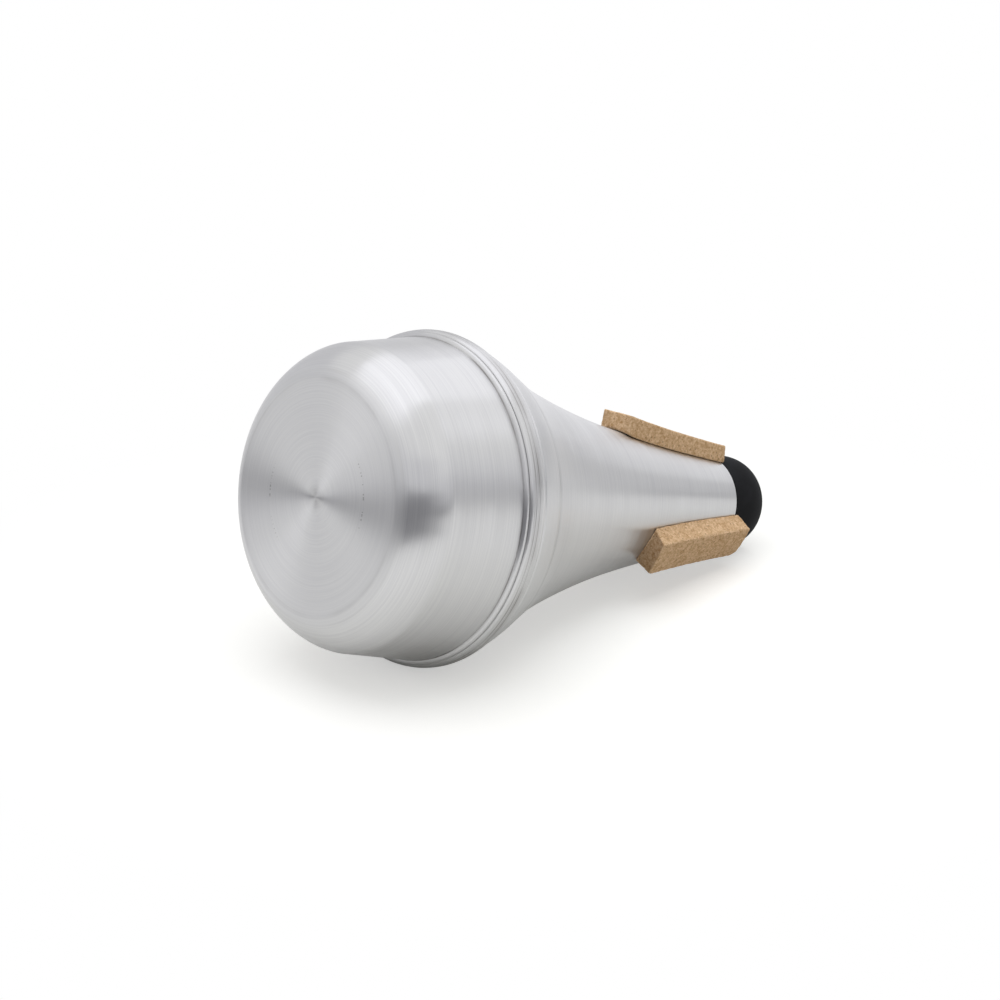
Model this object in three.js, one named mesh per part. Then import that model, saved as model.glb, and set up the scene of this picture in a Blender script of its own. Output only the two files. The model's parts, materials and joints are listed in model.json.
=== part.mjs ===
// Trumpet straight mute, lying on its side as it rests on a table.
// Millimetres, +Z up. Both shells, the throat ring and the cork strips are built along the mute's own
// axis, with the flat base at 0 and the throat at the far end. The whole mute is then laid down so
// that its rim bead and its throat ring touch the floor, with the throat towards +X.

import * as THREE from 'three';

const deg = Math.PI / 180;

// Sheet metal and fits
const sheet = 1.0;
const fitGap = 0.3;

// End cap: flat base, rounded shoulder, flaring wall, lip, and the spigot that plugs into the body
const discRadius = 30.8;
const shoulderReach = 10.0;
const shoulderDepth = 11.4;
const wallDepth = 21.6;
const wallFlare = 2.3;
const lipWidth = 1.0;
const lipOverhang = 1.2;
const lipFillet = 0.8;
const spigotLength = 4.4;

// Cone body: rim bead over the spigot, crease, shoulder band, flare, straight throat edge
const beadRise = 2.1;
const beadFront = 2.2;
const beadBack = 3.5;
const beadDrop = 1.2;
const bandLength = 10.7;
const bandDrop = 5.1;
const bandSwell = 0.25;
const coneLength = 97.3;
const throatRadius = 13.6;

// Throat ring: rubber bumper that plugs into the throat, with a rounded nose
const ringWall = 2.3;
const ringPlugLength = 8.0;
const ringInset = 0.2;
const ringSwell = 0.2;
const ringSwellLength = 5.9;
const ringNoseLength = 10.2;
const ringNoseDrop = 7.0;
const ringLipRadius = 0.8;

// Cork strips, cut by hand: thicker and wider at their far end from the throat, which is cut aslant
const corkLength = 40;
const corkWidth = 11.2;
const corkThickness = 5;
const corkOverhang = 1.0;
const corkWidening = 0.8;
const corkDraft = 0.5;
const corkThickening = 1.2;
const corkLean = 1.0;

// Where each strip sits around the cone, with its own shares of the length, overhang and thickness,
// and of the lean that skews its far end
const corkShares = [
  { name: 'cork_strip_top', clock: -3.8 * deg, length: 1.02, overhang: 0.5, thickness: 0.78, skew: 0.2 },
  { name: 'cork_strip_front', clock: 113.8 * deg, length: 1.025, overhang: 1.2, thickness: 1.06, skew: 1 },
  { name: 'cork_strip_rear', clock: -124 * deg, length: 1.015, overhang: 0.7, thickness: 0.92, skew: -0.4 },
];

// Outline shares: [share of the length, share of the drop in radius that is still to come]
const flareShares = [[0, 1], [0.12, 0.77], [0.3, 0.53], [0.5, 0.325], [0.75, 0.14], [1, 0]];
const shoulderPower = 1.3;

// Fineness of the faceted surfaces, and of the searches by halving
const sides = 64;
const shoulderSteps = 8;
const beadSteps = 4;
const bandSteps = 3;
const flareSteps = 16;
const noseSteps = 8;
const corkSteps = 9;
const corkArcSteps = 6;
const halvings = 40;

// Places along the axis and the radii that the pieces share
const lipStart = shoulderDepth + wallDepth;
const lipEnd = lipStart + lipWidth;
const mouthRadius = discRadius + shoulderReach + wallFlare;
const beadStart = lipEnd + fitGap;
const seatRadius = mouthRadius + fitGap;
const crestPlace = beadStart + beadFront;
const crestRadius = mouthRadius + beadRise;
const creasePlace = crestPlace + beadBack;
const creaseRadius = crestRadius - beadDrop;
const rootPlace = creasePlace + bandLength;
const rootRadius = creaseRadius - bandDrop;
const throatPlace = rootPlace + coneLength;
const ringStart = throatPlace + fitGap;

const aluminium = new THREE.MeshStandardMaterial({ color: 0xc6c7c8, roughness: 0.38, metalness: 1 });
const rubber = new THREE.MeshStandardMaterial({ color: 0x1d1e22, roughness: 0.72, metalness: 0 });
const cork = new THREE.MeshStandardMaterial({ color: 0xb8966c, roughness: 0.9, metalness: 0 });

// Outline points are (radius, place along the axis)
function at(radius, place) {
  return new THREE.Vector2(radius, place);
}

// Points of an outline given by a function of 0..1, with both ends
function trace(steps, pointAt) {
  return Array.from({ length: steps + 1 }, (_, i) => pointAt(i / steps));
}

// The same outline one sheet deeper, walked back from its end
function innerSkin(outline, thickness) {
  const inner = outline.map((point, i) => {
    const before = outline[Math.max(i - 1, 0)];
    const after = outline[Math.min(i + 1, outline.length - 1)];
    const along = after.clone().sub(before).normalize();
    return at(point.x - along.y * thickness, point.y + along.x * thickness);
  });
  return inner.reverse();
}

// A turned solid: flats face straight up and down, so that it lies steadily
function turned(name, outline, material) {
  const mesh = new THREE.Mesh(new THREE.LatheGeometry(outline, sides, Math.PI / sides), material);
  mesh.name = name;
  return mesh;
}

function shoulderOutline() {
  return trace(shoulderSteps, (share) => {
    const turn = share * Math.PI / 2;
    const out = Math.sin(turn) ** shoulderPower;
    const up = 1 - Math.cos(turn) ** shoulderPower;
    return at(discRadius + shoulderReach * out, shoulderDepth * up);
  });
}

function endCap() {
  const shoulder = shoulderOutline();
  const wallEnd = at(mouthRadius, lipStart);
  const spigotEnd = at(mouthRadius, lipEnd + spigotLength);
  const lip = [
    at(mouthRadius, lipStart - lipFillet),
    at(mouthRadius + lipOverhang / 2, lipStart - lipFillet / 4),
    at(mouthRadius + lipOverhang, lipStart + lipWidth / 2),
    at(mouthRadius + lipOverhang, lipEnd),
    at(mouthRadius, lipEnd),
  ];
  const skin = [...shoulder, wallEnd, spigotEnd];
  const inside = innerSkin(skin, sheet);
  inside.pop();
  return turned('end_cap', [
    at(0, 0), ...shoulder, ...lip, spigotEnd,
    ...inside, at(discRadius, sheet), at(0, sheet),
  ], aluminium);
}

function beadOutline() {
  const edgeRadius = seatRadius + sheet;
  const front = trace(beadSteps, (share) => {
    const turn = share * Math.PI / 2;
    return at(
      edgeRadius + (crestRadius - edgeRadius) * Math.sin(turn),
      beadStart + beadFront * (1 - Math.cos(turn)),
    );
  });
  const back = trace(beadSteps, (share) => (
    at(crestRadius - beadDrop * share ** 2, crestPlace + beadBack * share)
  ));
  return [...front, ...back.slice(1)];
}

function bandOutline() {
  return trace(bandSteps, (share) => at(
    creaseRadius - bandDrop * share + 4 * bandSwell * share * (1 - share),
    creasePlace + bandLength * share,
  )).slice(1);
}

// The flare's radius follows a smooth curve through the chosen shares
const flareCurve = new THREE.SplineCurve(flareShares.map(([along, left]) => at(
  throatRadius + (rootRadius - throatRadius) * left,
  rootPlace + coneLength * along,
)));

function coneRadiusAt(place) {
  if (place >= throatPlace) return throatRadius;
  let low = 0;
  let high = 1;
  for (let i = 0; i < halvings; i += 1) {
    const middle = (low + high) / 2;
    if (flareCurve.getPoint(middle).y < place) low = middle;
    else high = middle;
  }
  return flareCurve.getPoint(low).x;
}

function coneBody() {
  const flare = trace(flareSteps, (share) => flareCurve.getPoint(share)).slice(1);
  const bead = beadOutline();
  const outside = [...bandOutline(), ...flare];
  const inside = innerSkin([bead[bead.length - 1], ...outside], sheet);
  const seatEnd = creasePlace - sheet;
  return turned('cone_body', [
    at(seatRadius, beadStart), ...bead, ...outside,
    ...inside, at(seatRadius, seatEnd), at(seatRadius, beadStart),
  ], aluminium);
}

function ringNose() {
  const widest = throatRadius + ringSwell;
  const bore = throatRadius - sheet - fitGap - ringWall;
  const lastTurn = Math.acos(Math.max(0, 1 - (widest - bore - ringLipRadius) / ringNoseDrop));
  return trace(noseSteps, (share) => at(
    widest - ringNoseDrop * (1 - Math.cos(lastTurn * share)),
    ringStart + ringSwellLength + ringNoseLength * Math.sin(lastTurn * share),
  ));
}

function throatRing() {
  const plugRadius = throatRadius - sheet - fitGap;
  const bore = plugRadius - ringWall;
  const plugEnd = ringStart - ringPlugLength;
  const nose = ringNose();
  const tip = nose[nose.length - 1].y;
  const mouth = trace(2, (share) => {
    const turn = (share + 1) * Math.PI / 4;
    return at(
      bore + ringLipRadius * (1 - Math.sin(turn)),
      tip - ringLipRadius + ringLipRadius * Math.cos(turn) / Math.cos(Math.PI / 4),
    );
  });
  return turned('throat_ring', [
    at(bore, plugEnd), at(plugRadius, plugEnd), at(plugRadius, ringStart),
    at(throatRadius - ringInset, ringStart), ...nose, ...mouth, at(bore, plugEnd),
  ], rubber);
}

// One row of points across a strip: the hollow underside, then the flat top back again
function corkSection(place, toFarEnd, thickness, skew) {
  const under = coneRadiusAt(place) + fitGap;
  const top = under + thickness + corkThickening * toFarEnd;
  const width = corkWidth + corkWidening * toFarEnd;
  const hollow = trace(corkArcSteps, (share) => {
    const across = width * (share - 0.5);
    return new THREE.Vector3(across, place, Math.sqrt(under ** 2 - across ** 2));
  });
  const half = width / 2 - corkDraft;
  return [
    ...hollow,
    new THREE.Vector3(half, place - corkLean * (1 - skew) * toFarEnd, top),
    new THREE.Vector3(-half, place - corkLean * (1 + skew) * toFarEnd, top),
  ];
}

// A strip follows the cone lengthwise; its sections are joined into one closed skin
function corkStrip({ name, clock, length, overhang, thickness, skew }) {
  const end = throatPlace + corkOverhang * overhang;
  const run = corkLength * length;
  const sections = trace(corkSteps - 1, (share) => (
    corkSection(end - run * (1 - share), 1 - share, corkThickness * thickness, skew)
  ));
  const round = sections[0].length;
  const points = sections.flat();
  const faces = [];
  for (let row = 0; row < sections.length - 1; row += 1) {
    for (let i = 0; i < round; i += 1) {
      const here = row * round + i;
      const next = row * round + (i + 1) % round;
      faces.push(here, here + round, next, next, here + round, next + round);
    }
  }
  const last = (sections.length - 1) * round;
  const outline = sections[0].map((point) => new THREE.Vector2(point.x, point.z));
  THREE.ShapeUtils.triangulateShape(outline, []).forEach(([a, b, c]) => {
    faces.push(a, b, c, last + a, last + c, last + b);
  });
  const geometry = new THREE.BufferGeometry().setFromPoints(points);
  geometry.setIndex(faces);
  geometry.computeVertexNormals();
  const mesh = new THREE.Mesh(geometry, cork);
  mesh.name = name;
  mesh.rotation.y = clock;
  return mesh;
}

// How far a turned piece reaches below the axis line once the axis dips by an angle
function reach(outline, dip) {
  const flat = Math.cos(Math.PI / sides);
  return Math.max(...outline.map((p) => p.x * flat * Math.cos(dip) + p.y * Math.sin(dip)));
}

// The dip at which the bead and the ring's nose both touch the floor
function restingDip() {
  const bead = beadOutline();
  const nose = ringNose();
  let low = 0;
  let high = Math.PI / 4;
  for (let i = 0; i < halvings; i += 1) {
    const middle = (low + high) / 2;
    if (reach(bead, middle) > reach(nose, middle)) low = middle;
    else high = middle;
  }
  return low;
}

// The axis runs along +X; the turn about Y then lowers the throat to the floor
const mute = new THREE.Group();
mute.add(endCap(), coneBody(), throatRing(), ...corkShares.map(corkStrip));
mute.rotation.z = -Math.PI / 2;

const laidDown = new THREE.Group();
laidDown.add(mute);
laidDown.rotation.y = restingDip();

// The origin is the middle of the footprint, on the floor
const part = new THREE.Group();
part.add(laidDown);
part.updateMatrixWorld(true);
const box = new THREE.Box3().setFromObject(part, true);
laidDown.position.set(
  -(box.min.x + box.max.x) / 2,
  -(box.min.y + box.max.y) / 2,
  -box.min.z,
);

export default part;
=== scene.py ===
"""Trumpet straight mute, lying on its side on a pale studio floor.

Two spun aluminium shells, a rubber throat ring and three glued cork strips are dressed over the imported
model. Lengths are in metres. Outlines and strips are drawn in the mute's own frame, with the flat base at
0 and the throat at the far end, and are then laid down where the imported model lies.
"""

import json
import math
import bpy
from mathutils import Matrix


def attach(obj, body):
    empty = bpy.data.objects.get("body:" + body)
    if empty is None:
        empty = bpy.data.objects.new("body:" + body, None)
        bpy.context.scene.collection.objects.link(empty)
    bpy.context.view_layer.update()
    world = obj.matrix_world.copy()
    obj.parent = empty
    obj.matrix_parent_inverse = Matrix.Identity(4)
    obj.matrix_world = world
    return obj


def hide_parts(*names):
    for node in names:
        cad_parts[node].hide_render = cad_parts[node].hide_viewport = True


bl_info = {
    "name": "Trumpet Straight Mute",
    "version": (1, 0, 0),
    "blender": (4, 5, 0),
    "location": "3D View > Sidebar > Mute",
    "description": "Builds a spun aluminium straight mute with its throat ring and cork strips",
    "category": "Add Mesh",
}

import bpy
import numpy as np
from mathutils import Matrix, Vector

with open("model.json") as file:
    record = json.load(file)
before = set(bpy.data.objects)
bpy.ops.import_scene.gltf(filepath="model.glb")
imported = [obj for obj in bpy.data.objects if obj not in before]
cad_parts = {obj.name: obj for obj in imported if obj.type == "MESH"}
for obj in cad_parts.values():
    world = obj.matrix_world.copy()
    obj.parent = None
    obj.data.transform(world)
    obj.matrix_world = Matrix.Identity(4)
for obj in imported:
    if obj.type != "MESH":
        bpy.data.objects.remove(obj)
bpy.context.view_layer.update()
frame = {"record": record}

MM = 0.001

# The base mount gives the middle of the flat base, and the way that it faces
BASE_MOUNT = next(mount for mount in frame["record"]["mounts"] if mount["name"] == "base_face")
BASE = Vector(BASE_MOUNT["pos_m"])
AXIS = -Vector(BASE_MOUNT["axis"]).normalized()
TOP = (Vector((0, 0, 1)) - AXIS * AXIS.z).normalized()
SIDE = AXIS.cross(TOP)
LAID_DOWN = Matrix((TOP, SIDE, AXIS)).transposed()

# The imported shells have 64 flats, and the round ones here touch the middle of each flat
FLAT_SHARE = math.cos(math.pi / 64)


def linear(colour_hex):
    """Turns an sRGB colour such as "#C8C9CB" to the linear values that Blender uses."""
    channels = [int(colour_hex[i:i + 2], 16) / 255 for i in (1, 3, 5)]
    return tuple(c / 12.92 if c <= 0.04045 else ((c + 0.055) / 1.055) ** 2.4 for c in channels)


def length(name, millimetres, description):
    """A length that a user can change, with its default in millimetres."""
    return bpy.props.FloatProperty(
        name=name, description=description, default=millimetres * MM, precision=5, unit="LENGTH")


def number(name, default, description, unit="NONE"):
    """A plain number that a user can change."""
    return bpy.props.FloatProperty(
        name=name, description=description, default=default, min=0.0, unit=unit)


def colour(name, colour_hex, description):
    """A colour that a user can change, with its default as an sRGB hex value."""
    return bpy.props.FloatVectorProperty(
        name=name, description=description, default=linear(colour_hex),
        min=0.0, max=1.0, subtype="COLOR")


class ShellSizes(bpy.types.PropertyGroup):
    """Sizes of the two spun shells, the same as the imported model's."""

    sheet: length("Sheet", 1.0, "Thickness of the aluminium sheet")
    fit_gap: length("Fit gap", 0.3, "Clearance between pieces that fit together")
    seam_gap: length("Seam gap", 0.06, "Gap that shows between the cap's lip and the rim bead")
    seam_rounding: length("Seam rounding", 0.3, "Rounding of the two edges that meet at the seam")
    disc_radius: length("Disc radius", 30.8, "Radius of the flat base")
    shoulder_reach: length("Shoulder reach", 10.0, "How far the rounded shoulder goes out")
    shoulder_depth: length("Shoulder depth", 11.4, "How far the rounded shoulder goes along the axis")
    wall_depth: length("Wall depth", 21.6, "Length of the cap's wall from the shoulder to the lip")
    wall_flare: length("Wall flare", 2.3, "How much the wall's radius grows towards the lip")
    lip_width: length("Lip width", 1.0, "Width of the cap's lip along the axis")
    lip_overhang: length("Lip overhang", 1.2, "How far the lip stands out from the wall")
    lip_round: length("Lip round", 0.55, "How far the lip's rounded face goes along the axis")
    lip_fillet: length("Lip fillet", 0.15, "Rounding of the hollow at the lip's foot")
    spigot_length: length("Spigot length", 4.4, "Length of the cap's spigot inside the body")
    bead_rise: length("Bead rise", 2.1, "How far the rim bead stands out from the wall's radius")
    bead_front: length("Bead front", 2.2, "Length of the bead's rounded front")
    bead_back: length("Bead back", 3.5, "Length of the bead's back, down to the crease")
    bead_drop: length("Bead drop", 1.2, "How much the radius falls from the bead's crest to the crease")
    band_length: length("Band length", 10.7, "Length of the band between the crease and the cone")
    band_drop: length("Band drop", 5.1, "How much the radius falls over the band")
    band_swell: length("Band swell", 0.25, "How much the band bulges in its middle")
    cone_length: length("Cone length", 97.3, "Length of the flared cone")
    throat_radius: length("Throat radius", 13.6, "Radius of the cone's open end")
    edge_rounding: length("Edge rounding", 0.18, "Rounding of the turned edges")
    base_blend: length("Base blend", 0.5, "How far inside its edge the flat base starts to turn")
    crease_depth: length("Crease depth", 0.32, "Depth of the crease behind the bead")
    crease_width: length("Crease width", 0.45, "Half width of the crease behind the bead")
    root_depth: length("Root depth", 0.16, "Depth of the softer crease where the band meets the cone")
    root_width: length("Root width", 0.8, "Half width of the crease where the band meets the cone")
    root_shift: length("Root shift", 0.6, "How far that crease lies before the cone")
    tool_mark: length("Tool mark", 0.1, "Depth of the rings that the tool leaves on the rim bead")


class RingSizes(bpy.types.PropertyGroup):
    """Sizes of the rubber ring in the throat."""

    wall: length("Wall", 2.3, "Thickness of the plug's wall")
    plug_length: length("Plug length", 8.0, "Length of the plug inside the throat")
    inset: length("Inset", 0.2, "How far the ring starts inside the cone's edge")
    swell: length("Swell", 0.2, "How far the ring stands out at its widest")
    swell_length: length("Swell length", 5.9, "Distance from the ring's start to its widest place")
    nose_length: length("Nose length", 10.2, "Length of the rounded nose's arc")
    nose_drop: length("Nose drop", 7.0, "Drop of the rounded nose's arc")
    lip_radius: length("Lip radius", 0.8, "Rounding where the nose turns into the bore")


class CorkSizes(bpy.types.PropertyGroup):
    """Sizes of the cork strips and of the glue under them."""

    length: length("Length", 40, "Nominal length of a strip")
    width: length("Width", 11.2, "Width of a strip at the throat")
    thickness: length("Thickness", 5, "Nominal thickness of a strip at the throat")
    overhang: length("Overhang", 1.0, "Nominal reach of a strip past the cone's edge")
    widening: length("Widening", 0.8, "How much a strip widens towards its far end")
    draft: length("Draft", 0.5, "How much narrower the outer face is on each side")
    thickening: length("Thickening", 1.2, "How much a strip thickens towards its far end")
    lean: length("Lean", 1.0, "How far the far end leans outwards")
    dome: length("Dome", 0.5, "How much lower the outer face lies at its long edges than in its middle")
    slant: length("Slant", 0.7, "How much farther the far end reaches on its lower side")
    tip: length("Tip", 0.5, "How far the upper outer corner at the throat stands out")
    bow: length("Bow", 1.0, "How far the foot of the far end bulges along the cone in its middle")
    corner: length("Corner", 2.6, "Rounding of the lower corner at the throat")
    wear: length("Wear", 0.5, "Rounding of the worn edges")
    cell: length("Cell", 0.2, "Spacing of the strip's mesh")
    granule: length("Granule", 0.75, "Size of the cork granules")
    crevice: length("Crevice", 0.05, "Depth of the pits between granules, on the flat faces")
    seating: length("Seating", 0.06, "How far the underside stands off the cone, on its film of glue")
    lift: length("Lift", 0.4, "How far a stiff strip can lift off the cone at its far end")


class FinishColours(bpy.types.PropertyGroup):
    """Colours of the finishes."""

    aluminium: colour("Aluminium", "#D8D8D8", "Spun aluminium")
    aluminium_worn: colour("Aluminium marks", "#CFCFD0", "Aluminium in the spinning marks")
    aluminium_faced: colour("Faced aluminium", "#E8E8E9", "Aluminium of the flat base, which was faced last")
    # This colour is also painted into the creases, the seam and the tool rings as painted shade
    soil: colour("Shade and soil", "#4E453D", "Old polish and dirt in the creases")
    rubber: colour("Rubber", "#0D0E11", "Black rubber")
    rubber_dust: colour("Rubber bloom", "#1C1D22", "Pale bloom on the rubber")
    cork_light: colour("Light granules", "#E7C7A3", "The palest cork granules")
    cork_dark: colour("Dark granules", "#B28C61", "The darker cork granules")
    cork_bark: colour("Bark specks", "#5A381E", "Bark and crevices between the granules")
    floor: colour("Floor", "#D3D3D0", "Pale studio floor")
    pale_screen: colour("Pale screen", "#E6E6E9", "Screen all round, which only reflections see")
    grey_screen: colour("Grey screen", "#949498", "Low screen on the right, which only reflections see")
    white_screen: colour("White screen", "#FFFFFF", "Low strip on the right, which only reflections see")
    dark_screen: colour("Dark screen", "#88888C", "Dark screen by the camera, which only reflections see")


class StageSettings(bpy.types.PropertyGroup):
    """Floor, lights and camera."""

    floor_radius: length("Floor radius", 4000, "Radius of the round floor")
    ambient: number("Ambient", 0.42, "Strength of the even light from all sides")
    lift: number("Lift", 0.46, "White that the floor adds where the camera sees it")
    mirrored_lift: number("Mirrored lift", 0.13, "White that the floor adds in reflections")
    key_power: number("Key power", 147.0, "Power of the main softbox", unit="POWER")
    overhead_length: length("Overhead length", 2400, "Length of the softbox's front, as reflections see it")
    overhead_width: length("Overhead width", 1500, "Width of the softbox's front, as reflections see it")
    overhead_glow: number("Overhead glow", 1.42, "Brightness of the softbox's front in reflections")
    side_glow: number("Side glow", 1.27, "Brightness of the side softbox's front in reflections")


def adder(tree):
    """Gives the one function that adds nodes to a tree."""

    def add(kind, inputs=None, **settings):
        """Adds a node and gives its outputs. An input that is a socket is linked, any other is set."""
        node = tree.nodes.new(kind)
        for name, value in settings.items():
            setattr(node, name, value)
        for key, value in (inputs or {}).items():
            if isinstance(value, bpy.types.NodeSocket):
                tree.links.new(value, node.inputs[key])
            else:
                node.inputs[key].default_value = value
        return node.outputs

    return add


def new_tree(name, sockets):
    """An empty Geometry Nodes tree, the function that adds to it, and what its named inputs give."""
    tree = bpy.data.node_groups.new(name, "GeometryNodeTree")
    tree.is_modifier = True
    for socket, kind in sockets.items():
        tree.interface.new_socket(socket, in_out="INPUT", socket_type="NodeSocket" + kind)
    tree.interface.new_socket("Piece", in_out="OUTPUT", socket_type="NodeSocketGeometry")
    add = adder(tree)
    return tree, add, add("NodeGroupInput")


def finish_tree(add, geometry, material):
    """Ends a tree with a real mesh, shaded smooth, in its material."""
    whole = add("GeometryNodeRealizeInstances", {"Geometry": geometry})[0]
    smooth = add("GeometryNodeSetShadeSmooth", {"Geometry": whole})[0]
    painted = add("GeometryNodeSetMaterial", {"Geometry": smooth, "Material": material})[0]
    add("NodeGroupOutput", {"Piece": painted})


def laid(point):
    """A place in the mute's own frame, brought to where the mute lies."""
    return BASE + LAID_DOWN @ Vector(point)


def new_object(name, vertices, edges=(), faces=()):
    """A new mesh object in the scene, at the origin."""
    mesh = bpy.data.meshes.new(name)
    mesh.from_pydata([tuple(vertex) for vertex in vertices], edges, faces)
    piece = bpy.data.objects.new(name, mesh)
    bpy.context.scene.collection.objects.link(piece)
    return piece


def apply_tree(piece, tree, **inputs):
    """Runs a Geometry Nodes tree on a piece and keeps its result as the piece's plain mesh."""
    modifier = piece.modifiers.new(tree.name, "NODES")
    modifier.node_group = tree
    for socket in tree.interface.items_tree:
        if socket.in_out == "INPUT" and socket.name.lower() in inputs:
            modifier[socket.identifier] = inputs[socket.name.lower()]
    evaluated = piece.evaluated_get(bpy.context.evaluated_depsgraph_get())
    mesh = bpy.data.meshes.new_from_object(evaluated)
    mesh.materials.clear()
    mesh.materials.append(inputs["material"])
    mesh.polygons.foreach_set("material_index", [0] * len(mesh.polygons))
    piece.modifiers.clear()
    piece.data = mesh
    mesh.name = piece.name


def finish_piece(piece, node):
    """Ties a finished piece to the model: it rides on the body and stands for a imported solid."""
    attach(piece, "root")
    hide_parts(node)


# Outlines: points of (radius, place along the axis)

def trace(steps, point_at):
    """Points of a curve given by a function of 0..1, with both ends."""
    return [point_at(i / steps) for i in range(steps + 1)]


def corner(before, place, after, rounding, steps=6):
    """A rounded corner between two straight stretches, with a support point on each side."""
    before, place, after = Vector(before), Vector(place), Vector(after)
    to_before = (before - place).normalized()
    to_after = (after - place).normalized()
    reach = min(rounding, (before - place).length / 3, (after - place).length / 3)
    start = place + to_before * reach
    end = place + to_after * reach
    curve = trace(steps, lambda t: start * (1 - t) ** 2 + place * 2 * t * (1 - t) + end * t ** 2)
    return [place + to_before * reach * 2, *curve, place + to_after * reach * 2]


def rounded(points, rounding):
    """Rounds every inner corner of a stretch of straight lines."""
    path = [Vector(points[0])]
    for before, place, after in zip(points, points[1:], points[2:]):
        path.extend(corner(before, place, after, rounding))
    path.append(Vector(points[-1]))
    return path


def inner_skin(outline, sheet):
    """The same outline one sheet deeper, walked back from its end."""
    inner = []
    for i, point in enumerate(outline):
        before = outline[max(i - 1, 0)]
        after = outline[min(i + 1, len(outline) - 1)]
        along = (Vector(after) - Vector(before)).normalized()
        inner.append((point[0] - along.y * sheet, point[1] + along.x * sheet))
    return inner[::-1]


# How full the shoulder's curve is: 1 is a quarter of an ellipse, and more is flatter in its middle
SHOULDER_POWER = 1.3


def end_cap_outline(s):
    """Flat base, rounded shoulder, flaring wall, lip and the spigot inside the body."""
    mouth = s.disc_radius + s.shoulder_reach + s.wall_flare
    lip_start = s.shoulder_depth + s.wall_depth
    lip_end = lip_start + s.lip_width

    def shoulder_at(share):
        turn = share * math.pi / 2
        return (
            s.disc_radius + s.shoulder_reach * math.sin(turn) ** SHOULDER_POWER,
            s.shoulder_depth * (1 - math.cos(turn) ** SHOULDER_POWER),
        )

    shoulder = trace(48, shoulder_at)
    # The blend runs from the flat base to the shoulder's fourth point, along both their directions
    joined = 3
    end, after = Vector(shoulder[joined]), Vector(shoulder[joined + 1])
    start = Vector((s.disc_radius - s.base_blend, 0))
    bend = Vector((end.x - end.y * (after.x - end.x) / (after.y - end.y), 0))
    blend = trace(14, lambda t: start * (1 - t) ** 2 + bend * 2 * t * (1 - t) + end * t ** 2)
    base_steps = 28
    base = [*[(start.x * i / base_steps, 0) for i in range(base_steps)], *blend]
    # The lip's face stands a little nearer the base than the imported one, and is rounded back from there
    lip_face = lip_start - s.lip_width / 5
    wall_share = (lip_face - s.shoulder_depth) / s.wall_depth
    wall = trace(24, lambda t: (
        s.disc_radius + s.shoulder_reach + s.wall_flare * wall_share * t,
        s.shoulder_depth + s.wall_depth * wall_share * t,
    ))
    foot = wall[-1]
    lip_top = mouth + s.lip_overhang
    face = trace(16, lambda t: (
        foot[0] + (lip_top - foot[0]) * math.sin(t * math.pi / 2),
        lip_face + s.lip_round * (1 - math.cos(t * math.pi / 2)),
    ))
    # The fillet takes the place of the face's first steps
    lip = [
        *corner(wall[-2], foot, (foot[0] + s.lip_fillet * 3, lip_face), s.lip_fillet), *face[4:],
        *corner((lip_top, lip_face), (lip_top, lip_end), (mouth, lip_end), s.seam_rounding),
        *rounded([
            (lip_top - s.seam_rounding * 2.2, lip_end), (mouth, lip_end), (mouth, lip_end + s.spigot_length),
            (mouth - s.sheet, lip_end + s.spigot_length), (mouth - s.sheet, lip_end),
        ], s.edge_rounding)[1:],
    ]
    inside = inner_skin([*shoulder, *wall[1:], (mouth, lip_end)], s.sheet)
    return [
        *base, *shoulder[joined + 1:], *wall[1:-1], *lip, *inside[1:], (s.disc_radius, s.sheet),
        (0, s.sheet),
    ]


def flare_curve(s):
    """The cone's outside, from the band to the throat, on a smooth curve through chosen shares."""
    shares = [(0, 1), (0.12, 0.77), (0.3, 0.53), (0.5, 0.325), (0.75, 0.14), (1, 0)]
    root_place = crease(s)[1] + s.band_length
    root_radius = crease(s)[0] - s.band_drop
    knots = [
        Vector((s.throat_radius + (root_radius - s.throat_radius) * left, root_place + s.cone_length * along))
        for along, left in shares
    ]

    def point_at(share):
        whole = share * (len(knots) - 1)
        i = min(int(whole), len(knots) - 2)
        t = whole - i
        start, end = knots[i], knots[i + 1]
        leave = (end - knots[max(i - 1, 0)]) / 2
        arrive = (knots[min(i + 2, len(knots) - 1)] - start) / 2
        return (
            start * (2 * t ** 3 - 3 * t ** 2 + 1) + leave * (t ** 3 - 2 * t ** 2 + t)
            + end * (3 * t ** 2 - 2 * t ** 3) + arrive * (t ** 3 - t ** 2)
        )

    return point_at


# Places and radii that the outlines share

def lip_end_place(s):
    return s.shoulder_depth + s.wall_depth + s.lip_width


def mouth_radius(s):
    return s.disc_radius + s.shoulder_reach + s.wall_flare


def crest(s):
    """Radius and place of the rim bead's crest."""
    return mouth_radius(s) + s.bead_rise, lip_end_place(s) + s.fit_gap + s.bead_front


def crease(s):
    """Radius and place of the crease behind the bead."""
    return crest(s)[0] - s.bead_drop, crest(s)[1] + s.bead_back


def throat_place(s):
    return crease(s)[1] + s.band_length + s.cone_length


def creased(points, place, width, depth):
    """Presses a soft crease into an outline."""
    return [
        (radius - depth * math.exp(-((along - place) / width) ** 2), along) for radius, along in points
    ]


# Where the tool left rings on the rim bead, from its crest, with each one's width and share of the depth
BEAD_MARKS = (
    (-1.5 * MM, 0.16 * MM, 0.6), (-0.95 * MM, 0.20 * MM, 1.0), (-0.3 * MM, 0.14 * MM, 0.5),
    (0.25 * MM, 0.20 * MM, 1.0), (0.85 * MM, 0.14 * MM, 0.7), (1.4 * MM, 0.20 * MM, 1.0),
    (2.1 * MM, 0.16 * MM, 0.6), (2.7 * MM, 0.22 * MM, 0.9),
)


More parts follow.
